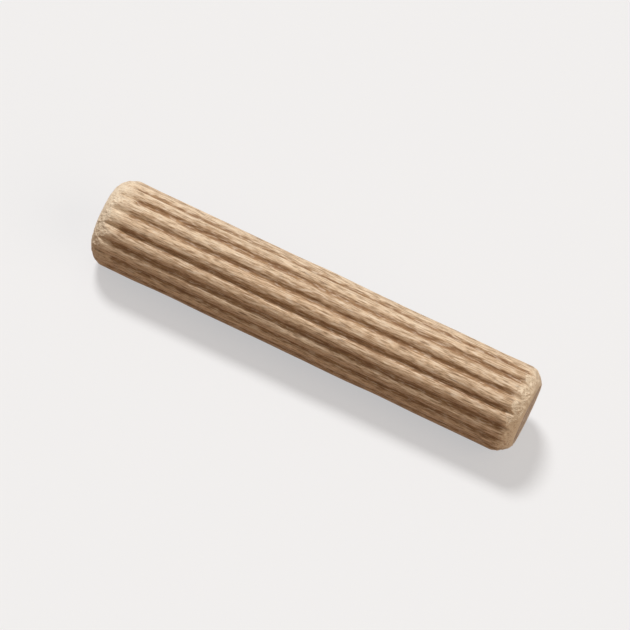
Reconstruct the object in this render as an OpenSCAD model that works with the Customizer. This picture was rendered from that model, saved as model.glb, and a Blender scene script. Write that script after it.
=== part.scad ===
// Fluted wooden dowel pin: one solid piece of hardwood, turned round, pressed with straight
// flutes along its whole length and chamfered at both ends. Half of it is glued into each of
// two boards: the flutes let air and spare glue out of the holes, and the chamfers lead it in.
//
// The pin lies along X with a flute at the bottom, so it rests on the two ridges beside it.
// The origin is on the floor under the middle of the pin, with +Z up. Sizes are in millimetres.

/* [Pin] */
// Diameter over the ridges, which is the size of the hole the pin fits
pin_d = 8; // [6:0.5:16]
// Length from end to end
pin_l = 40; // [20:1:120]

/* [Flutes] */
// Number of flutes around the pin, with one ridge between each two
flute_count = 16; // [12:1:20]
// Width of each flute, measured level with the crests of the ridges
flute_w = 0.68; // [0.4:0.02:0.9]
// Depth of each flute, measured down from the same level
flute_depth = 0.42; // [0.3:0.02:0.8]
// How far the rounded top of each ridge drops from its crest to the flutes beside it
crest_drop = 0.14; // [0.06:0.02:0.2]

/* [Ends] */
// How far the chamfer at each end reaches along the pin
chamfer_l = 1.3; // [0.5:0.1:3]
// How far the chamfer at each end cuts in from the side
chamfer_depth = 1; // [0.5:0.1:2]

/* [Hidden] */

pin_r = pin_d / 2;
end_r = pin_r - chamfer_depth;
flute_pitch = 360 / flute_count;
// How far the middle of a flute lies to the side of the ridge next to it
flute_offset = pin_r * sin(flute_pitch / 2);
// Radius of the rounded top of a ridge, and how far its centre is from the axis
crest_half_w = flute_offset - flute_w / 2;
crest_r = (pow(crest_half_w, 2) + pow(crest_drop, 2)) / (2 * crest_drop);
crest_centre_r = pin_r - crest_r;
// How near to the axis the cutter for a ridge comes, and how far to each side of the ridge: its
// corners lie inside the flutes, so no two such cutters meet
crest_cut_r = pin_r - (crest_drop + flute_depth) / 2;
crest_cut_half_w = crest_half_w + flute_w / 4;
// Height of the axis over the floor when the pin rests on two neighbouring ridges
axis_h = crest_centre_r * cos(flute_pitch / 2) + crest_r;
// Stock left on the blank, all of which comes off when the ridges are rounded
rough_r = pin_r + 0.1;
// Flat strips that make up the curve of one flute: an odd number, so that one of them is its floor
flute_strips = 7;
// How far the cutters reach past the surface and past the ends, for a clean cut
cut_over = 0.2;
cut_l = pin_l + 2 * cut_over;
curve_facets = 96;

// Half outline of the turned blank: radius across, length up. Both chamfers are the right size
// at the crests, and carry on past them to the rough surface.
module blank_outline() {
    rough_chamfer_l = chamfer_l * (rough_r - end_r) / chamfer_depth;
    polygon([
        [0, 0],
        [end_r, 0],
        [rough_r, rough_chamfer_l],
        [rough_r, pin_l - rough_chamfer_l],
        [end_r, pin_l],
        [0, pin_l]
    ]);
}

module blank() {
    rotate_extrude($fn = curve_facets) blank_outline();
}

// A point on the curve of a flute, which is half an ellipse: its floor is at turn = 0, and at
// turn = -90 and 90 it is level with the crests
function flute_point(turn) = [pin_r - flute_depth * cos(turn), flute_w / 2 * sin(turn)];

// Cutter for one flute, with straight sides from the level of the crests out past the surface
module flute() {
    translate([0, 0, -cut_over])
        linear_extrude(cut_l)
            polygon([
                [rough_r + cut_over, -flute_w / 2],
                for (i = [0 : flute_strips]) flute_point(180 * i / flute_strips - 90),
                [rough_r + cut_over, flute_w / 2]
            ]);
}

// Cutter for one ridge: it takes off all that stands outside the ridge's rounded top
module crest() {
    difference() {
        translate([crest_cut_r, -crest_cut_half_w, -cut_over])
            cube([rough_r + cut_over - crest_cut_r, 2 * crest_cut_half_w, cut_l]);
        translate([crest_centre_r, 0, -2 * cut_over])
            cylinder(h = cut_l + 2 * cut_over, r = crest_r, $fn = curve_facets);
    }
}

// Turns a cutter to each place around the pin. Flute 0 is at the bottom when the pin lies down.
module around_pin(first_angle) {
    for (i = [0 : flute_count - 1])
        rotate([0, 0, first_angle + i * flute_pitch]) children();
}

module dowel() {
    color("burlywood")
        translate([-pin_l / 2, 0, axis_h])
            rotate([0, 90, 0])
                difference() {
                    blank();
                    around_pin(0) flute();
                    around_pin(flute_pitch / 2) crest();
                }
}

dowel();
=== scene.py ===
"""Fluted wooden dowel pin, 8 x 40 mm: one stick of beech, turned, pressed and chamfered.

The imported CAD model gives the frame: the pin lies along X on the floor, z = 0, with its middle
over the origin. The piece made here stands for the CAD node and keeps inside its box. It adds
what the cutter and the press leave on a real pin: uneven flutes, worn crests, torn fibres and
rough ends. Sizes are in millimetres up to where a mesh, a material, the floor or the camera
takes them, and angles that are fields are in degrees.
"""

import logging
import math
from dataclasses import dataclass
from enum import Enum

import bpy
import numpy as np
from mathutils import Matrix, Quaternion, Vector

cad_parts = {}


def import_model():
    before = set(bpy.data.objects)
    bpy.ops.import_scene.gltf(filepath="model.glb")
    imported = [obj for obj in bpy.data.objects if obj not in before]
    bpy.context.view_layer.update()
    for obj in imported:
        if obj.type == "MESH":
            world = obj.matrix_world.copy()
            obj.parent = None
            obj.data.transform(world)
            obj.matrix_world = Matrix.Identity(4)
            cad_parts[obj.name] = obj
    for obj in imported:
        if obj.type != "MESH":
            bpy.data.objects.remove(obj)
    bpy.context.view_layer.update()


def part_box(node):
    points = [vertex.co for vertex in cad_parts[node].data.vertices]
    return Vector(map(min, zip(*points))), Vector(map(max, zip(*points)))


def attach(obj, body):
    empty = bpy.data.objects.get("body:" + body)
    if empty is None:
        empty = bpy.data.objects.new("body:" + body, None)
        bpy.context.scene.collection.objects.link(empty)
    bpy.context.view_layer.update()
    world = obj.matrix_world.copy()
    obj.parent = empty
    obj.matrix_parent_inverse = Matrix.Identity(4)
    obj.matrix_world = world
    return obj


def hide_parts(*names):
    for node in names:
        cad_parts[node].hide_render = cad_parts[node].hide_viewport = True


LOG = logging.getLogger("dowel_pin")

MM = 0.001
FULL_TURN = 2 * math.pi

# The sRGB curve: straight up to the knee, and a power from there on
CHANNEL_TOP = 255
SRGB_KNEE = 0.04045
SRGB_SLOPE = 12.92
SRGB_OFFSET = 0.055
SRGB_POWER = 2.4


class Mask(Enum):
    """Values that the mesh carries at each vertex, for the material to read."""

    # How deep a vertex lies in a flute: the material paints it as pressed wood and as shade
    PRESSED_AND_SHADED = "pressed"
    CHAMFER = "chamfer"
    END_GRAIN = "end_grain"
    RIM = "rim"


class PinEnd(Enum):
    """The two ends of the pin, by the sign of X."""

    LEFT = -1
    RIGHT = 1


def linear(hex_colour: str) -> tuple[float, float, float, float]:
    """Turns an sRGB colour into the linear one that a node takes.

    Args:
        hex_colour: the colour as "#RRGGBB".

    Returns:
        Linear red, green and blue, and an alpha of 1.
    """
    channels = []
    for start in (1, 3, 5):
        value = int(hex_colour[start:start + 2], 16) / CHANNEL_TOP
        if value <= SRGB_KNEE:
            channels.append(value / SRGB_SLOPE)
        else:
            channels.append(((value + SRGB_OFFSET) / (1 + SRGB_OFFSET)) ** SRGB_POWER)
    return channels[0], channels[1], channels[2], 1.0


def direction(azimuth: float, elevation: float) -> Vector:
    """Unit vector to a place on the sky.

    Args:
        azimuth: degrees from +X towards +Y.
        elevation: degrees above the floor.

    Returns:
        The vector from the pin to that place.
    """
    turn = math.radians(azimuth)
    rise = math.radians(elevation)
    flat = math.cos(rise)
    return Vector((math.cos(turn) * flat, math.sin(turn) * flat, math.sin(rise)))


def ease(share: np.ndarray) -> np.ndarray:
    """Smooths shares, so that they leave 0 and reach 1 level.

    Args:
        share: shares, of which what is below 0 or above 1 is cut off.

    Returns:
        Shares from 0 to 1.
    """
    share = np.clip(share, 0, 1)
    return share * share * (3 - 2 * share)


def soft_min(first: np.ndarray, second: np.ndarray, width: float) -> np.ndarray:
    """Takes the lower of two surfaces, with a rounded corner where they cross.

    Args:
        first: heights of one surface.
        second: heights of the other.
        width: difference in height within which they are blended.

    Returns:
        The heights of the joint surface.
    """
    share = np.clip(0.5 + 0.5 * (second - first) / width, 0, 1)
    return second + (first - second) * share - width * share * (1 - share)


@dataclass
class Chance:
    """Seeded random unevenness, eased between the points of a lattice."""

    rng: np.random.Generator

    def curves(self, places: np.ndarray, spacing: float, count: int) -> np.ndarray:
        """Random curves along the pin, one for each of its flutes or ridges.

        Args:
            places: distances along the pin.
            spacing: distance between one random value and the next.
            count: how many curves.

        Returns:
            Values from -1 to 1, one row for each place and one column for each curve.
        """
        steps = places / spacing
        before = steps.astype(int)
        lattice = self.rng.uniform(-1, 1, (before.max() + 2, count))
        share = ease(steps - before)[:, None]
        return lattice[before] * (1 - share) + lattice[before + 1] * share

    def field(self, down: np.ndarray, across: np.ndarray, wrap: int = 0) -> np.ndarray:
        """A random surface over two coordinates, both counted in cells and not negative.

        Args:
            down: the first coordinate.
            across: the second coordinate.
            wrap: cells after which the second comes round again, or 0 if it does not.

        Returns:
            Values from -1 to 1, in the shape that the coordinates have together.
        """
        top = down.astype(int)
        left = across.astype(int)
        columns = wrap or left.max() + 2
        lattice = self.rng.uniform(-1, 1, (top.max() + 2, columns))
        left = left % columns
        right = (left + 1) % columns
        fall = ease(down - np.floor(down))
        share = ease(across - np.floor(across))
        upper = lattice[top, left] * (1 - share) + lattice[top, right] * share
        lower = lattice[top + 1, left] * (1 - share) + lattice[top + 1, right] * share
        return upper * (1 - fall) + lower * fall


@dataclass(frozen=True)
class FluteForm:
    """Section of the pressed sides. Ridge and flute sizes are those of the CAD model."""

    pin_r: float = 4.0
    flute_count: int = 16
    flute_w: float = 0.68
    flute_depth: float = 0.42
    crest_drop: float = 0.14
    # Power of the flute's curve: 2 is a parabola, and more is flatter at the floor
    flute_power: float = 3.0
    # Rounding where a flute meets the crests beside it
    edge_round: float = 0.1

    @property
    def half_pitch(self) -> float:
        """Angle from the middle of a flute to the middle of a ridge."""
        return FULL_TURN / self.flute_count / 2

    def crest(self, aside: np.ndarray) -> np.ndarray:
        """Radius of a ridge's rounded top.

        Args:
            aside: angles from the middle of the ridge.

        Returns:
            Distances from the axis of the pin.
        """
        half_w = self.pin_r * math.sin(self.half_pitch) - self.flute_w / 2
        crest_r = (half_w ** 2 + self.crest_drop ** 2) / (2 * self.crest_drop)
        centre_r = self.pin_r - crest_r
        rise = np.sqrt(crest_r ** 2 - (centre_r * np.sin(aside)) ** 2)
        return centre_r * np.cos(aside) + rise

    def flute(self, aside: np.ndarray, width: np.ndarray, depth: np.ndarray) -> np.ndarray:
        """Radius of a flute's curve, which goes on rising outside its edges.

        Args:
            aside: distances from the middle of the flute.
            width: the flute's own width.
            depth: the flute's own depth.

        Returns:
            Distances from the axis of the pin.
        """
        share = np.abs(aside) / (width / 2)
        return self.pin_r - depth * (1 - share ** self.flute_power)


@dataclass(frozen=True)
class Wear:
    """How far the real surface strays from the true section, in millimetres."""

    # Flutes wander sideways, and change in width and depth, over these lengths
    flute_reach: float = 7.0
    flute_shift: float = 0.035
    flute_width_change: float = 0.09
    flute_depth_change: float = 0.07
    # Their edges are frayed over this length
    fray_reach: float = 0.8
    flute_fray: float = 0.04
    # Crests are worn and crushed by up to this much
    crest_reach: float = 4.0
    crest_wear: float = 0.09
    # Fibres stand up and lie down: cells this long and this wide, and among them a coarser
    # set, this many times as long and as wide
    fibre_length: float = 1.6
    fibre_width: float = 0.14
    fibre_rise: float = 0.016
    coarse_length: int = 3
    coarse_width: int = 2
    # Fibres torn out by the press and by handling: the least and the most of half the length
    # of such a nick, of half its width, and of its depth
    nick_count: int = 170
    nick_length: tuple[float, float] = (0.25, 1.6)
    nick_width: tuple[float, float] = (0.05, 0.13)
    nick_depth: tuple[float, float] = (0.015, 0.07)


@dataclass
class FlutedPin:
    """The pin, as one closed mesh: pressed sides, two rough chamfers and two sawn ends."""

    form: FluteForm = FluteForm()
    wear: Wear = Wear()
    length: float = 40.0
    end_r: float = 3.0
    chamfer_l: float = 1.3
    # The chamfer bulges a little, and its edges wander and are furred with torn fibres, which
    # reach this many times as far as the chamfer
    chamfer_bulge: float = 0.17
    chamfer_wander: float = 0.2
    chamfer_wander_cell: float = 1.3
    chamfer_fur: float = 0.07
    chamfer_fur_cell: float = 0.2
    chamfer_fur_reach: float = 1.2
    chamfer_round: float = 0.1
    # Fibres torn by the chamfer's cutter lie over the sides near the ends: how far from each
    # end they start to thin out, and how far the last of them reach
    torn_left: tuple[float, float] = (1.5, 2.5)
    torn_right: tuple[float, float] = (0.9, 1.8)
    torn_wander: float = 0.3
    torn_cell: float = 0.6
    # They fill this share of each flute, and this share of them is as pale as the chamfer
    torn_fill: float = 0.8
    torn_cover: float = 0.6
    # The saw leaves each end a little out of square and rough, in cells of this size and of
    # this many times as much
    end_tilt: float = 0.12
    end_tilt_reach: float = 3.0
    end_rough: float = 0.05
    end_rough_cell: float = 0.35
    end_coarse: int = 3
    end_rim_round: float = 0.2
    # Pale fur of torn fibres round each sawn end fades out over this distance
    end_fur: float = 0.22
    # Mesh: columns to one flute and its ridge, closer together at the walls of the flute
    columns_per_flute: int = 20
    column_crowding: float = 0.4
    chamfer_rows: int = 26
    side_rows: int = 196
    # Rings of each end, closer together towards the rim
    end_rings: int = 14
    ring_crowding: float = 1.5
    seed: int = 7

    def build(self, material: bpy.types.Material) -> bpy.types.Object:
        """Makes the pin, dresses it and puts it on the frame.

        Args:
            material: the beech that the pin is made of.

        Returns:
            The pin, in the place of the CAD node.
        """
        low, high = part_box("dowel")
        chance = Chance(np.random.default_rng(self.seed))
        turns = self._turns()
        rows = self._rows()
        torn = self._torn(rows, turns, chance)
        radius, pressed = self._pressed_sides(rows, turns, torn, chance)
        radius, chamfer = self._cut_chamfers(radius, rows, turns, chance)
        chamfer = np.maximum(chamfer, torn * self.torn_cover)
        sides = self._points(rows, turns, radius, chance)
        mesh = self._mesh(sides, rows, pressed, chamfer, chance)
        self._lay_down(mesh, (low.z + high.z) / 2)
        mesh.materials.append(material)
        pin = bpy.data.objects.new("fluted_pin", mesh)
        bpy.context.scene.collection.objects.link(pin)
        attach(pin, "root")
        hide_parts("dowel")
        return pin

    def _turns(self) -> np.ndarray:
        """Spreads the columns round the pin.

        Returns:
            Their angles from the middle of the flute at the bottom.
        """
        count = self.form.flute_count * self.columns_per_flute
        even = np.arange(count) / self.columns_per_flute
        # Two waves to each flute, one for each of its walls
        wave = 2 * FULL_TURN
        crowd = self.column_crowding * np.sin(wave * even) / wave
        return (even + crowd) * FULL_TURN / self.form.flute_count

    def _rows(self) -> np.ndarray:
        """Spreads the rows along the pin, closer together in the chamfers.

        Returns:
            Their distances from the left end.
        """
        reach = self.chamfer_l + self.chamfer_wander
        near = np.linspace(0, reach, self.chamfer_rows, endpoint=False)
        middle = np.linspace(reach, self.length - reach, self.side_rows)
        return np.concatenate([near, middle, self.length - near[::-1]])

    def _inward(self, rows: np.ndarray, end: PinEnd) -> np.ndarray:
        """Distances of the rows from one end, by those from the left end."""
        return rows if end is PinEnd.LEFT else self.length - rows

    def _torn(self, rows: np.ndarray, turns: np.ndarray, chance: Chance) -> np.ndarray:
        """How thick torn fibres lie over the sides.

        Args:
            rows: distances of the rows from the left end.
            turns: angles of the columns.
            chance: where the unevenness comes from.

        Returns:
            1 next to the ends and 0 clear of them, for each row and column.
        """
        cells = int(FULL_TURN * self.form.pin_r / self.torn_cell)
        across = turns[None, :] / FULL_TURN * cells
        thick = np.zeros((len(rows), len(turns)))
        for end, reach in ((PinEnd.LEFT, self.torn_left), (PinEnd.RIGHT, self.torn_right)):
            start, last = reach
            wander = chance.field(np.zeros_like(across), across, cells) * self.torn_wander
            share = (self._inward(rows, end)[:, None] + wander - start) / (last - start)
            thick = np.maximum(thick, 1 - ease(share))
        return thick

    def _pressed_sides(
        self, rows: np.ndarray, turns: np.ndarray, torn: np.ndarray, chance: Chance
    ) -> tuple[np.ndarray, np.ndarray]:
        """Radius of the sides, with flutes and ridges as uneven as the press leaves them.

        Args:
            rows: distances of the rows from the left end.
            turns: angles of the columns.
            torn: how thick torn fibres lie at each vertex.
            chance: where the unevenness comes from.

        Returns:
            The radius of each vertex, and how deep it is pressed from 0 to 1.
        """
        form = self.form
        wear = self.wear
        count = form.flute_count
        pitch = 2 * form.half_pitch
        flute = np.round(turns / pitch).astype(int) % count
        aside = (turns + form.half_pitch) % pitch - form.half_pitch

        shift = chance.curves(rows, wear.flute_reach, count) * wear.flute_shift
        wider = chance.curves(rows, wear.flute_reach, count) * wear.flute_width_change
        deeper = chance.curves(rows, wear.flute_reach, count) * wear.flute_depth_change
        shift = shift + chance.curves(rows, wear.fray_reach, count) * wear.flute_fray
        wider = wider + chance.curves(rows, wear.fray_reach, count) * wear.flute_fray
        lateral = form.pin_r * aside[None, :] - shift[:, flute]
        width = (form.flute_w + wider)[:, flute]
        depth = (form.flute_depth + deeper)[:, flute] * (1 - self.torn_fill * torn)
        floor = form.flute(lateral, width, depth)

        # Each place on a crest is worn as the ridges on both sides of it are
        lowered = (chance.curves(rows, wear.crest_reach, count) - 1) / 2 * wear.crest_wear
        ridge = turns / pitch - 0.5
        left = np.floor(ridge).astype(int)
        share = ease(ridge - left)[None, :]
        worn = lowered[:, left % count] * (1 - share) + lowered[:, (left + 1) % count] * share
        crest = form.crest(form.half_pitch - np.abs(aside))[None, :] + worn

        radius = soft_min(crest, floor, form.edge_round)
        # How deep in a flute: the material darkens it as pressed wood and as painted shade
        pressed = np.clip((form.pin_r - radius) / form.flute_depth, 0, 1) * (1 - torn)
        radius = radius + self._fibres(rows, turns, chance) - self._nicks(rows, turns, chance)
        return np.minimum(radius, form.pin_r), pressed

    def _fibres(self, rows: np.ndarray, turns: np.ndarray, chance: Chance) -> np.ndarray:
        """Fine long unevenness of the fibres.

        Args:
            rows: distances of the rows from the left end.
            turns: angles of the columns.
            chance: where the unevenness comes from.

        Returns:
            How far the surface stands up, for each row and column.
        """
        wear = self.wear
        around = int(FULL_TURN * self.form.pin_r / wear.fibre_width)
        down = rows[:, None] / wear.fibre_length
        across = turns[None, :] / FULL_TURN * around
        fine = chance.field(down, across, around)
        coarse = chance.field(
            down / wear.coarse_length, across / wear.coarse_width, around // wear.coarse_width
        )
        return (fine + coarse) / 2 * wear.fibre_rise

    def _nicks(self, rows: np.ndarray, turns: np.ndarray, chance: Chance) -> np.ndarray:
        """Long narrow places where fibres are torn out.

        Args:
            rows: distances of the rows from the left end.
            turns: angles of the columns.
            chance: where the unevenness comes from.

        Returns:
            Their depth, for each row and column.
        """
        wear = self.wear
        total = np.zeros((len(rows), len(turns)))
        for _ in range(wear.nick_count):
            place = chance.rng.uniform(0, self.length)
            turn = chance.rng.uniform(0, FULL_TURN)
            half_l = chance.rng.uniform(*wear.nick_length)
            half_w = chance.rng.uniform(*wear.nick_width)
            depth = chance.rng.uniform(*wear.nick_depth)
            along = (rows - place) / half_l
            aside = (turns - turn + math.pi) % FULL_TURN - math.pi
            across = aside * self.form.pin_r / half_w
            total += depth * np.exp(-along[:, None] ** 2 - across[None, :] ** 2)
        return total

    def _cut_chamfers(
        self, radius: np.ndarray, rows: np.ndarray, turns: np.ndarray, chance: Chance
    ) -> tuple[np.ndarray, np.ndarray]:
        """Cuts both chamfers into the sides.

        Args:
            radius: the radius of each vertex before the cut.
            rows: distances of the rows from the left end.
            turns: angles of the columns.
            chance: where the unevenness comes from.

        Returns:
            The radius after the cut, and how far each vertex is on a chamfer from 0 to 1.
        """
        ring = FULL_TURN * self.end_r
        wide = int(ring / self.chamfer_wander_cell)
        fine = int(ring / self.chamfer_fur_cell)
        around = turns[None, :] / FULL_TURN
        level = np.zeros_like(around)
        chamfer = np.zeros_like(radius)
        for end in PinEnd:
            inward = self._inward(rows, end)[:, None]
            wander = chance.field(level, around * wide, wide) * self.chamfer_wander
            share = (inward + wander * ease(inward / self.chamfer_l)) / self.chamfer_l
            # A parabola, which is 1 halfway along the chamfer
            bulge = self.chamfer_bulge * 4 * share * (1 - share) * (share < 1)
            cone = self.end_r + (self.form.pin_r - self.end_r) * share + bulge
            fur = chance.field(inward / self.chamfer_fur_cell, around * fine, fine)
            furred = share < self.chamfer_fur_reach
            cut = cone + fur * self.chamfer_fur * furred - self.chamfer_fur
            # The rim of the sawn end is rubbed round
            rim = ease(1 - inward / self.end_rim_round) * self.end_rim_round / 2
            before = radius
            radius = soft_min(radius, cut, self.chamfer_round) - rim
            chamfer = np.maximum(chamfer, ease((before - radius) / self.chamfer_round))
        return radius, chamfer

    def _points(
        self, rows: np.ndarray, turns: np.ndarray, radius: np.ndarray, chance: Chance
    ) -> np.ndarray:
        """Places of the vertices of the sides, with the axis of the pin as the X axis.

        Args:
            rows: distances of the rows from the left end.
            turns: angles of the columns.
            radius: the radius of each vertex.
            chance: where the unevenness comes from.

        Returns:
            X, Y and Z for each row and column.
        """
        points = np.empty((len(rows), len(turns), 3))
        points[..., 1] = radius * np.sin(turns)
        points[..., 2] = -radius * np.cos(turns)
        points[..., 0] = rows[:, None] - self.length / 2
        for end in PinEnd:
            inward = self._inward(rows, end)
            lean = chance.rng.uniform(0, FULL_TURN)
            tilt = self.end_tilt * (1 + np.cos(turns - lean)) / 2
            fade = ease(1 - inward / self.end_tilt_reach)
            points[..., 0] -= end.value * fade[:, None] * tilt[None, :]
        return points

    def _mesh(
        self,
        sides: np.ndarray,
        rows: np.ndarray,
        pressed: np.ndarray,
        chamfer: np.ndarray,
        chance: Chance,
    ) -> bpy.types.Mesh:
        """Closes the sides with two sawn ends and makes the mesh.

        Args:
            sides: places of the vertices of the sides.
            rows: distances of the rows from the left end.
            pressed: how deep each of them is pressed.
            chamfer: how far each of them is on a chamfer.
            chance: where the unevenness comes from.

        Returns:
            The closed mesh, in metres, with its masks.
        """
        columns = sides.shape[1]
        on_sides = len(rows) * columns
        index = np.arange(on_sides).reshape(len(rows), columns)
        points = [sides.reshape(-1, 3)]
        faces = self._strips(index)
        end_grain = [np.zeros(on_sides)]
        rim = [np.repeat(self._fur(np.minimum(rows, self.length - rows)), columns)]
        count = on_sides
        for end in PinEnd:
            row = 0 if end is PinEnd.LEFT else -1
            face = self._sawn_end(sides[row], end, chance)
            centre = count + self.end_rings * columns
            rings = np.arange(count, centre).reshape(self.end_rings, columns)
            loops = np.vstack([index[row], rings])
            # Seen from outside, both ends run the same way round
            if end is PinEnd.LEFT:
                loops = loops[:, ::-1]
            faces += self._strips(loops)
            last = loops[-1]
            faces += [(a, b, centre) for a, b in zip(last.tolist(), np.roll(last, -1).tolist())]
            points.append(face)
            end_grain.append(np.ones(len(face)))
            within = self._fur((1 - self._ring_shares()) * self.end_r)
            rim.append(np.append(np.repeat(within, columns), 0))
            count = centre + 1
        mesh = bpy.data.meshes.new("fluted_pin")
        mesh.from_pydata((np.vstack(points) * MM).tolist(), [], faces)
        mesh.shade_smooth()
        on_ends = np.zeros(count - on_sides)
        self._store(mesh, Mask.PRESSED_AND_SHADED, np.concatenate([pressed.ravel(), on_ends]))
        self._store(mesh, Mask.CHAMFER, np.concatenate([chamfer.ravel(), on_ends]))
        self._store(mesh, Mask.END_GRAIN, np.concatenate(end_grain))
        self._store(mesh, Mask.RIM, np.concatenate(rim))
        return mesh

    def _fur(self, distance: np.ndarray) -> np.ndarray:
        """How much pale fur there is, by the distance from the rim of an end: 1 at the rim."""
        return np.exp(-(distance / self.end_fur) ** 2)

    def _ring_shares(self) -> np.ndarray:
        """Sizes of the rings of an end, as shares of its rim."""
        steps = np.arange(1, self.end_rings + 1) / (self.end_rings + 1)
        return 1 - steps ** self.ring_crowding

    def _sawn_end(self, rim: np.ndarray, end: PinEnd, chance: Chance) -> np.ndarray:
        """Vertices of one end inside its rim, ring by ring, and its middle last.

        Args:
            rim: the row of vertices round the end.
            end: which end it is.
            chance: where the unevenness comes from.

        Returns:
            X, Y and Z of each vertex.
        """
        middle = rim.mean(axis=0)
        rings = middle + (rim - middle)[None] * self._ring_shares()[:, None, None]
        points = np.vstack([rings.reshape(-1, 3), middle[None]])
        down = (points[:, 1] + self.form.pin_r) / self.end_rough_cell
        across = (points[:, 2] + self.form.pin_r) / self.end_rough_cell
        fine = chance.field(down, across)
        rough = fine + chance.field(down / self.end_coarse, across / self.end_coarse)
        # From 0 at the highest places, which keep the full length, to 1 at the lowest
        sunk = (1 + rough / 2) / 2
        points[:, 0] -= end.value * self.end_rough * sunk
        return points

    @staticmethod
    def _strips(loops: np.ndarray) -> list[tuple[int, ...]]:
        """Faces between closed loops of vertices, each loop joined to the next.

        Args:
            loops: numbers of the vertices, one row for each loop.

        Returns:
            The corners of each face.
        """
        this = loops[:-1]
        following = loops[1:]
        corners = [
            this,
            np.roll(this, -1, axis=1),
            np.roll(following, -1, axis=1),
            following,
        ]
        return list(zip(*(corner.ravel().tolist() for corner in corners)))

    @staticmethod
    def _store(mesh: bpy.types.Mesh, mask: Mask, values: np.ndarray) -> None:
        """Keeps one value for each vertex in the mesh.

        Args:
            mesh: the mesh.
            mask: what the values are.
            values: one for each vertex.
        """
        layer = mesh.attributes.new(mask.value, "FLOAT", "POINT")
        layer.data.foreach_set("value", values.astype(np.float32))

    @staticmethod
    def _lay_down(mesh: bpy.types.Mesh, axis_height: float) -> None:
        """Lifts the mesh to the CAD pin's axis, and then sets it down on the floor.

        Args:
            mesh: the mesh, with its own axis as the X axis.
            axis_height: height of the CAD pin's axis in metres.
        """
        co = np.empty(len(mesh.vertices) * 3, np.float32)
        mesh.vertices.foreach_get("co", co)
        co = co.reshape(-1, 3)
        co[:, 2] += axis_height
        co[:, 2] -= co[:, 2].min()
        mesh.vertices.foreach_set("co", co.ravel())
        mesh.update()


Socket = bpy.types.NodeSocket
Value = float | tuple | str | bool | Socket
Size = tuple[float, float, float]

# A MapRange node that starts and ends softly, and a Mix node for colours, whose float, vector
# and colour sockets share their names
EASED = {"interpolation_type": "SMOOTHSTEP"}
COLOURS = {"data_type": "RGBA"}
MIX_FACTOR = 0
MIX_UNDER = 6
MIX_OVER = 7
MIX_RESULT = 2


def add_node(
    tree: bpy.types.NodeTree,
    kind: str,
    settings: dict[str, object] | None = None,
    inputs: dict[str | int, Value] | None = None,
) -> bpy.types.Node:
    """Adds a node, sets it up and links it.

    Args:
        tree: the nodes of a material or of the world.
        kind: the node's type, without the leading "ShaderNode".
        settings: the node's own options by name.
        inputs: what goes into each of its sockets, by name or number: a value, or the output
            of another node.

    Returns:
        The node.
    """
    node = tree.nodes.new("ShaderNode" + kind)
    for name, value in (settings or {}).items():
        setattr(node, name, value)
    for name, value in (inputs or {}).items():
        socket = node.inputs[name]
        if isinstance(value, Socket):
            tree.links.new(value, socket)
        else:
            socket.default_value = value
    return node


@dataclass(frozen=True)
class Fade:
    """How something fades in, while a pattern's value goes from one number to another."""

    start: float
    full: float
    most: float = 1.0
    least: float = 0.0

    def of(self, pattern: Socket) -> dict[str, Value]:
        """Inputs of the MapRange node that turns a pattern's value into how much there is.

        Args:
            pattern: the pattern.

        Returns:
            The inputs by name.
        """
        return {
            "Value": pattern,
            "From Min": self.start,
            "From Max": self.full,
            "To Min": self.least,
            "To Max": self.most,
        }


@dataclass(frozen=True)
class Grain:
    """Unevenness of wood, by the size of its patches in millimetres.

    The size is the length along the grain, the width and the height. The detail is how many
    finer layers it has.
    """

    size: Size
    detail: float


@dataclass(frozen=True)
class Patterns:
    """Values that vary over the wood, which its colour and its relief are made from."""

    tone: Socket
    streak: Socket
    fibre: Socket
    torn: Socket
    speckle: Socket
    # 0 in early wood and 1 in the dark line that ends each growth layer
    growth: Socket
    # 1 in a ray fleck, in a ray's end or in a pore, and 0 outside
    fleck: Socket
    ray: Socket
    pore: Socket
    patch: Socket
    masks: dict[Mask, Socket]


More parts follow.
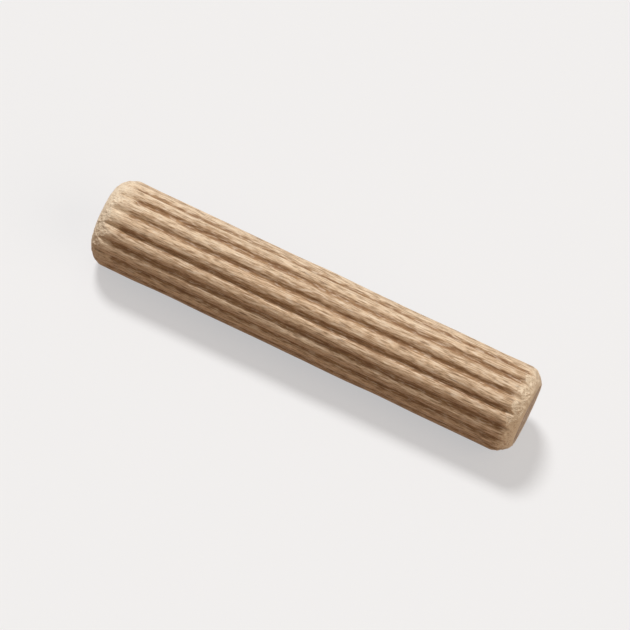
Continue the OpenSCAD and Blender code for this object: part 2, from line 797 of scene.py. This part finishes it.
@dataclass(frozen=True)
class TurnedBeech:
    """Beech, steamed and kiln-dried, turned and pressed and left bare.

    To the eye it is a pale pinkish tan and quite dull. The grain runs with the pin: broad faint
    tones, thin streaks and fine fibres, with short brown flecks where the rays come to the
    surface, and pale fibres that are partly painted highlights. Pressed wood is darker and
    browner, and the flutes carry painted shade as well. The cut ends are greyer and full of
    pores.
    """

    pale: str = "#EED8BA"
    tan: str = "#DABC9A"
    late_wood: str = "#B8926B"
    streak: str = "#A07A54"
    fleck: str = "#745436"
    # Pale fibres: partly their own colour, partly painted highlights of loose fibre ends
    pale_fibre_highlight: str = "#F8EBD8"
    # Flute floors: browner pressed wood, made darker still as painted shade in the hollows
    flute: str = "#88603E"
    flute_pale: str = "#B28F67"
    chamfer: str = "#FAEAD0"
    end_grain: str = "#D8C6B1"
    end_patch: str = "#A5846C"
    ray: str = "#E8D9C4"
    pore: str = "#705848"
    roughness: float = 0.68
    ior: float = 1.5
    # How far along its stick the pin was cut, in millimetres, which gives it its own grain
    cut_at: float = 420.0
    # The heart of the tree was this far off, across the pin and up
    heart: tuple[float, float] = (-38.0, 26.0)
    growth_layer: float = 2.3

    tone_grain: Grain = Grain((34.0, 3.2, 3.2), 2.0)
    streak_grain: Grain = Grain((9.0, 0.36, 0.36), 3.0)
    # A real fibre is 0.02 mm wide: these are bundles of them, drawn coarser so that they show
    fibre_grain: Grain = Grain((1.2, 0.09, 0.09), 3.0)
    # Open pores and torn fibres of the sides, drawn coarser than real ones so that they show
    torn_grain: Grain = Grain((0.85, 0.115, 0.115), 3.0)
    # Ends of cut fibres, which stand out along the grain
    speckle_grain: Grain = Grain((0.5, 0.13, 0.13), 2.0)
    patch_grain: Grain = Grain((2.2, 2.2, 2.2), 3.0)
    # Rays on the end grain run out from the heart, in bundles: along, out, and round the heart
    ray_grain: Grain = Grain((20.0, 2.2, 0.13), 1.0)
    # Where they come out on the sides they are thin ribbons
    fleck_size: Size = (1.7, 1.6, 0.24)
    # Pores of the end grain, drawn twice as wide as real ones so that they show
    pore_size: Size = (0.45, 0.15, 0.15)

    # The values of its pattern over which each colour fades in, and how much of it shows
    tan_fade: Fade = Fade(0.3, 0.7)
    late_wood_fade: Fade = Fade(0.0, 1.0, 0.28)
    streak_fade: Fade = Fade(0.48, 0.7, 0.6)
    fibre_fade: Fade = Fade(0.5, 0.64, 0.65)
    fleck_fade: Fade = Fade(0.0, 1.0, 0.7)
    # Flute colour by depth: pressed wood and painted shade
    flute_shade_fade: Fade = Fade(0.2, 0.85, 0.92)
    flute_pale_fade: Fade = Fade(0.3, 0.7)
    torn_fade: Fade = Fade(0.5, 0.66, 0.5)
    # Pale fibres, partly painted highlights
    fibre_highlight_fade: Fade = Fade(0.5, 0.34, 0.45)
    chamfer_fade: Fade = Fade(0.1, 1.0, 0.85)
    speckle_fade: Fade = Fade(0.48, 0.68, 0.7)
    rim_fade: Fade = Fade(0.3, 1.1, 0.7)
    patch_fade: Fade = Fade(0.4, 0.68, 0.6)
    growth_fade: Fade = Fade(0.0, 1.0, 0.75)
    ray_fade: Fade = Fade(0.48, 0.66, 0.6)
    pore_fade: Fade = Fade(0.0, 1.0, 0.5)
    # The part of a growth layer that darkens, and the shapes of flecks and pores by the
    # distance from their middles, with the share of the flecks that show
    growth_line: Fade = Fade(0.35, 0.97)
    fleck_shape: Fade = Fade(0.42, 0.12)
    fleck_choice: Fade = Fade(0.5, 1.0)
    pore_shape: Fade = Fade(0.42, 0.2)
    # How far streaks and torn fibres shift the edges of the pressed wood with its painted shade,
    # and of the pale fur
    flute_waver: Fade = Fade(0.25, 0.75, 0.16, -0.16)
    flute_fray: Fade = Fade(0.3, 0.7, 0.13, -0.13)
    fur_fray: Fade = Fade(0.3, 0.7, 0.3, -0.3)

    # Relief too fine for the mesh, in millimetres
    fibre_relief: float = 0.08
    fur_relief: float = 0.08
    pore_relief: float = 0.05

    def material(self) -> bpy.types.Material:
        """Makes the material from its layers, from the broad tones to the finish.

        Returns:
            The material.
        """
        material = bpy.data.materials.new("turned_beech")
        material.use_nodes = True
        tree = material.node_tree
        tree.nodes.clear()
        wood = self._patterns(tree)
        side = self._pressed_colour(tree, self._face_colour(tree, wood), wood)
        side = self._torn_colour(tree, side, wood)
        side = self._chamfer_colour(tree, side, wood)
        end = self._end_colour(tree, wood)
        colour = add_node(
            tree,
            "Mix",
            COLOURS,
            {MIX_FACTOR: wood.masks[Mask.END_GRAIN], MIX_UNDER: side, MIX_OVER: end},
        ).outputs[MIX_RESULT]
        rim = self._fray(tree, wood.masks[Mask.RIM], wood.speckle, self.fur_fray)
        colour = self._lay(tree, colour, linear(self.chamfer), rim, self.rim_fade)
        shader = add_node(
            tree,
            "BsdfPrincipled",
            inputs={
                "Base Color": colour,
                "Roughness": self.roughness,
                "IOR": self.ior,
                "Normal": self._relief(tree, wood),
            },
        )
        add_node(tree, "OutputMaterial", inputs={"Surface": shader.outputs[0]})
        return material

    def _patterns(self, tree: bpy.types.NodeTree) -> Patterns:
        """Makes all the patterns, in the pin's own space so that they stay with the wood.

        Args:
            tree: the material's nodes.

        Returns:
            The patterns.
        """
        coordinates = add_node(tree, "TexCoord").outputs["Object"]
        place = add_node(
            tree,
            "VectorMath",
            {"operation": "MULTIPLY_ADD"},
            {0: coordinates, 1: (1 / MM, 1 / MM, 1 / MM), 2: (self.cut_at, 0.0, 0.0)},
        ).outputs[0]
        # The same place, turned so that its Y points away from the heart
        radial = add_node(
            tree,
            "VectorRotate",
            {"rotation_type": "X_AXIS"},
            {"Vector": place, "Angle": -math.atan2(self.heart[1], self.heart[0])},
        ).outputs[0]
        tone = self._uneven(tree, place, self.tone_grain)
        return Patterns(
            tone=tone,
            streak=self._uneven(tree, place, self.streak_grain),
            fibre=self._uneven(tree, place, self.fibre_grain),
            torn=self._uneven(tree, place, self.torn_grain),
            speckle=self._uneven(tree, place, self.speckle_grain),
            growth=self._growth(tree, place, tone),
            fleck=self._flecks(tree, radial),
            ray=self._uneven(tree, radial, self.ray_grain),
            pore=self._spots(tree, place, self.pore_size, self.pore_shape)[0],
            patch=self._uneven(tree, place, self.patch_grain),
            masks={
                mask: add_node(tree, "Attribute", {"attribute_name": mask.value}).outputs["Fac"]
                for mask in Mask
            },
        )

    @staticmethod
    def _uneven(tree: bpy.types.NodeTree, place: Socket, grain: Grain) -> Socket:
        """Patches drawn out along the grain.

        Args:
            tree: the material's nodes.
            place: position in millimetres.
            grain: the size of the patches.

        Returns:
            Values about 0.5.
        """
        scale = tuple(1 / size for size in grain.size)
        cells = add_node(tree, "VectorMath", {"operation": "MULTIPLY"}, {0: place, 1: scale})
        noise = add_node(
            tree,
            "TexNoise",
            inputs={"Vector": cells.outputs[0], "Scale": 1.0, "Detail": grain.detail},
        )
        return noise.outputs[0]

    @staticmethod
    def _spots(
        tree: bpy.types.NodeTree, place: Socket, size: Size, shape: Fade
    ) -> tuple[Socket, Socket]:
        """Scattered spots, one to a cell.

        Args:
            tree: the material's nodes.
            place: position in millimetres.
            size: length, width and height of a cell in millimetres.
            shape: how a spot fades out from its middle.

        Returns:
            1 in a spot and 0 outside, and a random colour for each spot.
        """
        scale = tuple(1 / part for part in size)
        cells = add_node(tree, "VectorMath", {"operation": "MULTIPLY"}, {0: place, 1: scale})
        middles = add_node(
            tree,
            "TexVoronoi",
            inputs={"Vector": cells.outputs[0], "Scale": 1.0, "Randomness": 1.0},
        )
        spot = add_node(tree, "MapRange", EASED, shape.of(middles.outputs["Distance"]))
        return spot.outputs[0], middles.outputs["Color"]

    def _flecks(self, tree: bpy.types.NodeTree, radial: Socket) -> Socket:
        """Ray flecks: short thin spindles along the grain.

        Args:
            tree: the material's nodes.
            radial: position in millimetres, with Y pointing away from the heart.

        Returns:
            1 in a fleck and 0 outside.
        """
        spindle, chance = self._spots(tree, radial, self.fleck_size, self.fleck_shape)
        chosen = add_node(tree, "SeparateColor", inputs={0: chance}).outputs[0]
        some = add_node(tree, "MapRange", EASED, self.fleck_choice.of(chosen)).outputs[0]
        return add_node(
            tree, "Math", {"operation": "MULTIPLY"}, {0: spindle, 1: some}
        ).outputs[0]

    def _growth(self, tree: bpy.types.NodeTree, place: Socket, tone: Socket) -> Socket:
        """Growth layers, as thin darker bands round the heart of the tree.

        Args:
            tree: the material's nodes.
            place: position in millimetres.
            tone: broad unevenness, which bends the layers.

        Returns:
            0 in early wood and 1 in the dark line that ends each layer.
        """
        offset = add_node(
            tree,
            "VectorMath",
            {"operation": "MULTIPLY_ADD"},
            {0: place, 1: (0.0, 1.0, 1.0), 2: (0.0, -self.heart[0], -self.heart[1])},
        ).outputs[0]
        reach = add_node(tree, "VectorMath", {"operation": "LENGTH"}, {0: offset})
        layer = add_node(
            tree,
            "Math",
            {"operation": "MULTIPLY"},
            {0: reach.outputs["Value"], 1: 1 / self.growth_layer},
        ).outputs[0]
        bent = add_node(tree, "Math", {"operation": "ADD"}, {0: layer, 1: tone}).outputs[0]
        share = add_node(tree, "Math", {"operation": "FRACT"}, {0: bent}).outputs[0]
        return add_node(tree, "MapRange", EASED, self.growth_line.of(share)).outputs[0]

    @staticmethod
    def _lay(
        tree: bpy.types.NodeTree,
        under: Value,
        over: Value,
        pattern: Socket,
        fade: Fade,
    ) -> Socket:
        """Lays one colour on another where a pattern lets it show.

        Args:
            tree: the material's nodes.
            under: the lower colour.
            over: the upper colour.
            pattern: where the upper colour shows.
            fade: how it fades in.

        Returns:
            The colour of both together.
        """
        share = add_node(tree, "MapRange", EASED, fade.of(pattern)).outputs[0]
        both = {MIX_FACTOR: share, MIX_UNDER: under, MIX_OVER: over}
        return add_node(tree, "Mix", COLOURS, both).outputs[MIX_RESULT]

    @staticmethod
    def _fray(tree: bpy.types.NodeTree, edge: Socket, pattern: Socket, reach: Fade) -> Socket:
        """Shifts the edge of a pressed or furred part here and there.

        Args:
            tree: the material's nodes.
            edge: how far into the part each place is.
            pattern: what shifts its edge.
            reach: how far it does.

        Returns:
            How far into the frayed part each place is.
        """
        shift = add_node(tree, "MapRange", EASED, reach.of(pattern)).outputs[0]
        return add_node(tree, "Math", {"operation": "ADD"}, {0: edge, 1: shift}).outputs[0]

    def _face_colour(self, tree: bpy.types.NodeTree, wood: Patterns) -> Socket:
        """Colour of the turned surface, before it is pressed.

        Args:
            tree: the material's nodes.
            wood: the patterns.

        Returns:
            The colour.
        """
        colour = self._lay(
            tree, linear(self.pale), linear(self.tan), wood.tone, self.tan_fade
        )
        layers = (
            (self.late_wood, wood.growth, self.late_wood_fade),
            (self.streak, wood.streak, self.streak_fade),
            (self.streak, wood.fibre, self.fibre_fade),
            (self.fleck, wood.fleck, self.fleck_fade),
        )
        for over, pattern, fade in layers:
            colour = self._lay(tree, colour, linear(over), pattern, fade)
        return colour

    def _pressed_colour(
        self, tree: bpy.types.NodeTree, face: Socket, wood: Patterns
    ) -> Socket:
        """Darkens the flutes: pressed wood, and painted shade in the hollows.

        Args:
            tree: the material's nodes.
            face: colour of the turned surface.
            wood: the patterns.

        Returns:
            The colour of the sides.
        """
        # Flute floors, darkened as pressed wood and as painted shade
        floor = self._lay(
            tree, linear(self.flute), linear(self.flute_pale), wood.fibre, self.flute_pale_fade
        )
        depth = self._fray(tree, wood.masks[Mask.PRESSED_AND_SHADED], wood.streak, self.flute_waver)
        depth = self._fray(tree, depth, wood.torn, self.flute_fray)
        return self._lay(tree, face, floor, depth, self.flute_shade_fade)

    def _torn_colour(self, tree: bpy.types.NodeTree, side: Socket, wood: Patterns) -> Socket:
        """Breaks the sides up with short dark pores and pale fibres, partly painted highlights.

        Args:
            tree: the material's nodes.
            side: colour of the sides.
            wood: the patterns.

        Returns:
            The colour of the sides.
        """
        colour = self._lay(tree, side, linear(self.fleck), wood.torn, self.torn_fade)
        return self._lay(tree, colour, linear(self.pale_fibre_highlight), wood.torn, self.fibre_highlight_fade)

    def _chamfer_colour(self, tree: bpy.types.NodeTree, side: Socket, wood: Patterns) -> Socket:
        """Lays the pale speckled look of fibres cut across over the chamfers.

        Args:
            tree: the material's nodes.
            side: colour of the sides.
            wood: the patterns.

        Returns:
            The colour of sides and chamfers.
        """
        fur = self._lay(
            tree, linear(self.chamfer), linear(self.late_wood), wood.speckle, self.speckle_fade
        )
        edge = self._fray(tree, wood.masks[Mask.CHAMFER], wood.speckle, self.fur_fray)
        return self._lay(tree, side, fur, edge, self.chamfer_fade)

    def _end_colour(self, tree: bpy.types.NodeTree, wood: Patterns) -> Socket:
        """Colour of the sawn ends.

        Args:
            tree: the material's nodes.
            wood: the patterns.

        Returns:
            The colour.
        """
        colour = linear(self.end_grain)
        layers = (
            (self.end_patch, wood.patch, self.patch_fade),
            (self.end_patch, wood.growth, self.growth_fade),
            (self.ray, wood.ray, self.ray_fade),
            (self.pore, wood.pore, self.pore_fade),
        )
        for over, pattern, fade in layers:
            colour = self._lay(tree, colour, linear(over), pattern, fade)
        return colour

    def _relief(self, tree: bpy.types.NodeTree, wood: Patterns) -> Socket:
        """Fine relief: raised fibres on the sides, fur on the chamfers and pores in the ends.

        Args:
            tree: the material's nodes.
            wood: the patterns.

        Returns:
            The bent normal.
        """
        grain = add_node(
            tree, "Math", {"operation": "ADD"}, {0: wood.streak, 1: wood.fibre}
        ).outputs[0]
        sides = add_node(
            tree,
            "Bump",
            inputs={"Strength": 1.0, "Distance": self.fibre_relief * MM, "Height": grain},
        ).outputs[0]
        chamfers = add_node(
            tree,
            "Bump",
            inputs={
                "Strength": wood.masks[Mask.CHAMFER],
                "Distance": self.fur_relief * MM,
                "Height": wood.speckle,
                "Normal": sides,
            },
        ).outputs[0]
        return add_node(
            tree,
            "Bump",
            {"invert": True},
            {
                "Strength": wood.masks[Mask.END_GRAIN],
                "Distance": self.pore_relief * MM,
                "Height": wood.pore,
                "Normal": chamfers,
            },
        ).outputs[0]


def seen(tree: bpy.types.NodeTree) -> Socket:
    """What a ray is for.

    Args:
        tree: the nodes of a material or of the world.

    Returns:
        1 where the camera sees a surface, straight, in a gloss or through glass, and 0 for the
        light that falls on other things.
    """
    path = add_node(tree, "LightPath")
    either = path.outputs["Is Camera Ray"]
    for way in ("Is Glossy Ray", "Is Transmission Ray"):
        both = {0: either, 1: path.outputs[way]}
        either = add_node(tree, "Math", {"operation": "MAXIMUM"}, both).outputs[0]
    return either


@dataclass(frozen=True)
class MattPaper:
    """Uncoated card, pressed flat, on which the pin lies.

    To the eye it is pale, even and dull, so nothing shows on it but the pin's shadow.
    """

    colour: str = "#A8A8A8"
    # Added where it is seen, so that lit card has the colour of the wall behind it
    glow: str = "#B6B7B9"
    # The colour of the light that it throws back at the pin: the warmth of other wood close by
    bounce: str = "#8C6C52"

    def material(self) -> bpy.types.Material:
        """Makes the material: a dull surface with a glow that lights nothing else.

        Returns:
            The material.
        """
        material = bpy.data.materials.new("matt_paper")
        material.use_nodes = True
        tree = material.node_tree
        tree.nodes.clear()
        straight = seen(tree)
        colour = add_node(
            tree,
            "Mix",
            COLOURS,
            {MIX_FACTOR: straight, MIX_UNDER: linear(self.bounce), MIX_OVER: linear(self.colour)},
        ).outputs[MIX_RESULT]
        paper = add_node(tree, "BsdfDiffuse", inputs={"Color": colour})
        glow = add_node(
            tree, "Emission", inputs={"Color": linear(self.glow), "Strength": straight}
        )
        both = add_node(tree, "AddShader", inputs={0: paper.outputs[0], 1: glow.outputs[0]})
        add_node(tree, "OutputMaterial", inputs={"Surface": both.outputs[0]})
        return material


@dataclass(frozen=True)
class Lamp:
    """A wide soft light, far enough off to light the pin evenly."""

    name: str
    strength: float
    azimuth: float
    elevation: float
    # How much of the sky it fills, which sets how soft its shadows are
    softness: float
    tint: str = "#FFFFFF"

    def hang(self) -> None:
        """Puts the lamp in the scene, pointing at the pin."""
        data = bpy.data.lights.new(self.name, "SUN")
        data.energy = self.strength
        data.angle = math.radians(self.softness)
        data.color = linear(self.tint)[:3]
        lamp = bpy.data.objects.new(self.name, data)
        towards = direction(self.azimuth, self.elevation)
        lamp.rotation_mode = "QUATERNION"
        lamp.rotation_quaternion = (-towards).to_track_quat("-Z", "Y")
        bpy.context.scene.collection.objects.link(lamp)


@dataclass(frozen=True)
class Studio:
    """Floor, light and camera: none of them is part of the pin."""

    paper: MattPaper = MattPaper()
    floor_size: float = 6000.0
    wall_colour: str = "#F0F0F0"

    # The key is high, behind the pin and to its left, and the fill is low, off its right end
    key: Lamp = Lamp("key", 2.65, 144.0, 60.0, 15.0)
    fill: Lamp = Lamp("fill", 0.85, -14.0, 30.0, 60.0, "#FFEEDC")
    sky_strength: float = 0.19
    sky_tint: str = "#FFE5CA"

    # The camera is far off behind a long lens, so the pin's two ends look nearly alike in size
    camera_azimuth: float = -80.0
    camera_elevation: float = 52.0
    # Turned a little about its line of sight, so that the pin slopes as if propped on others
    camera_roll: float = 17.36
    camera_distance: float = 310.0
    lens: float = 208.0
    near_clip: float = 10.0
    far_clip: float = 20000.0

    def build(self, target: Vector) -> None:
        """Sets up floor, sky, lamps and camera.

        Args:
            target: the middle of the pin, in metres.
        """
        self._floor()
        self._sky()
        self.key.hang()
        self.fill.hang()
        self._camera(target)

    def _floor(self) -> None:
        """Lays a plain pale floor that keeps the pin's shadow."""
        half = self.floor_size * MM / 2
        corners = [(-half, -half, 0), (half, -half, 0), (half, half, 0), (-half, half, 0)]
        mesh = bpy.data.meshes.new("floor")
        mesh.from_pydata(corners, [], [(0, 1, 2, 3)])
        mesh.materials.append(self.paper.material())
        floor = bpy.data.objects.new("floor", mesh)
        bpy.context.scene.collection.objects.link(floor)

    def _sky(self) -> None:
        """Lights the pin evenly from all round, and shows a pale wall where it is seen."""
        world = bpy.data.worlds.new("studio")
        world.use_nodes = True
        tree = world.node_tree
        tree.nodes.clear()
        light = add_node(
            tree,
            "Background",
            inputs={"Color": linear(self.sky_tint), "Strength": self.sky_strength},
        )
        wall = add_node(tree, "Background", inputs={"Color": linear(self.wall_colour)})
        both = add_node(
            tree, "MixShader", inputs={0: seen(tree), 1: light.outputs[0], 2: wall.outputs[0]}
        )
        add_node(tree, "OutputWorld", inputs={"Surface": both.outputs[0]})
        bpy.context.scene.world = world

    def _camera(self, target: Vector) -> None:
        """Stands the camera in front of the pin, looking down on it.

        Args:
            target: the middle of the pin, in metres.
        """
        data = bpy.data.cameras.new("camera")
        data.lens = self.lens
        data.clip_start = self.near_clip * MM
        data.clip_end = self.far_clip * MM
        camera = bpy.data.objects.new("camera", data)
        back = direction(self.camera_azimuth, self.camera_elevation)
        camera.location = target + back * self.camera_distance * MM
        camera.rotation_mode = "QUATERNION"
        level = (-back).to_track_quat("-Z", "Y")
        roll = Quaternion((0, 0, 1), math.radians(self.camera_roll))
        camera.rotation_quaternion = level @ roll
        bpy.context.scene.collection.objects.link(camera)
        bpy.context.scene.camera = camera


def main() -> None:
    """Loads the frame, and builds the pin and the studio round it."""
    logging.basicConfig(level=logging.INFO, format="%(name)s: %(message)s")
    bpy.context.scene.view_settings.view_transform = "Standard"
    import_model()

    pin = FlutedPin().build(TurnedBeech().material())
    LOG.info("%s: %d faces", pin.name, len(pin.data.polygons))
    low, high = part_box("dowel")
    Studio().build((low + high) / 2)


if __name__ == "__main__":
    main()
